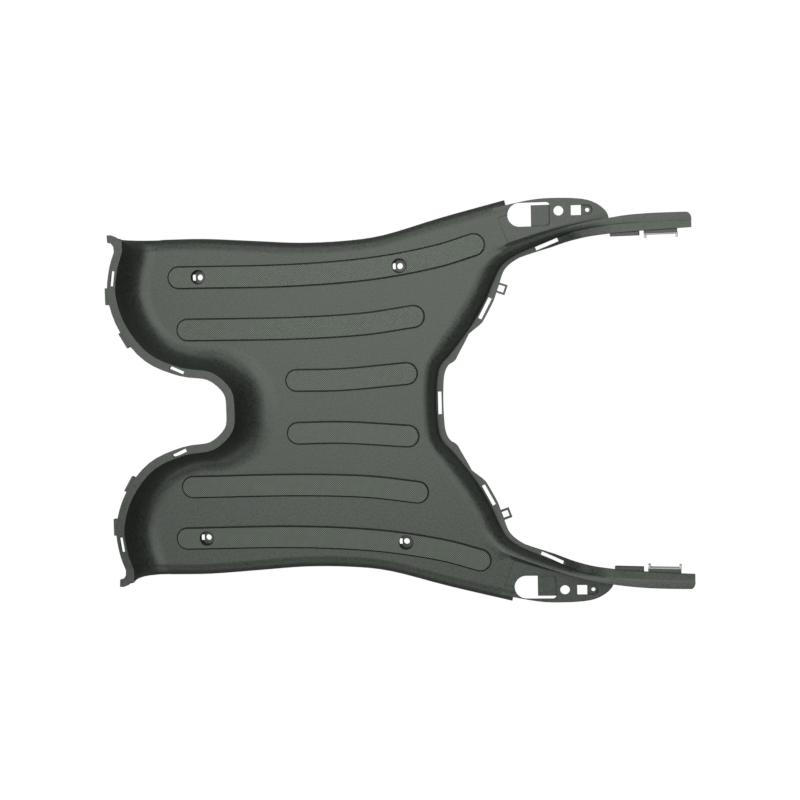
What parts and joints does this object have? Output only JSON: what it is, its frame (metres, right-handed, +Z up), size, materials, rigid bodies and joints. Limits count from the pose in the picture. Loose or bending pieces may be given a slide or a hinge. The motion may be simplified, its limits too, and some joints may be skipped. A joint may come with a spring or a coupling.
{
  "type": "scooter floorboard",
  "caption": "Moulded scooter floorboard: curved tread floor with raised strips, flanged front rim, two rising rear arms and side ears with keyhole openings.",
  "frame": {"origin": "on the centre plane, in the top face of the tread floor, close to the middle of the part's length", "axes": "+X to the rear of the scooter, along the arms; +Y to the scooter's right side; +Z up from the tread floor"},
  "size_m": [0.62, 0.439, 0.0743],
  "materials": {
    "moulded_plastic": "fine moulded grain, matt, near black"
  },
  "bodies": {
    "root": {"floorboard": "moulded_plastic"}
  },
  "joints": []
}
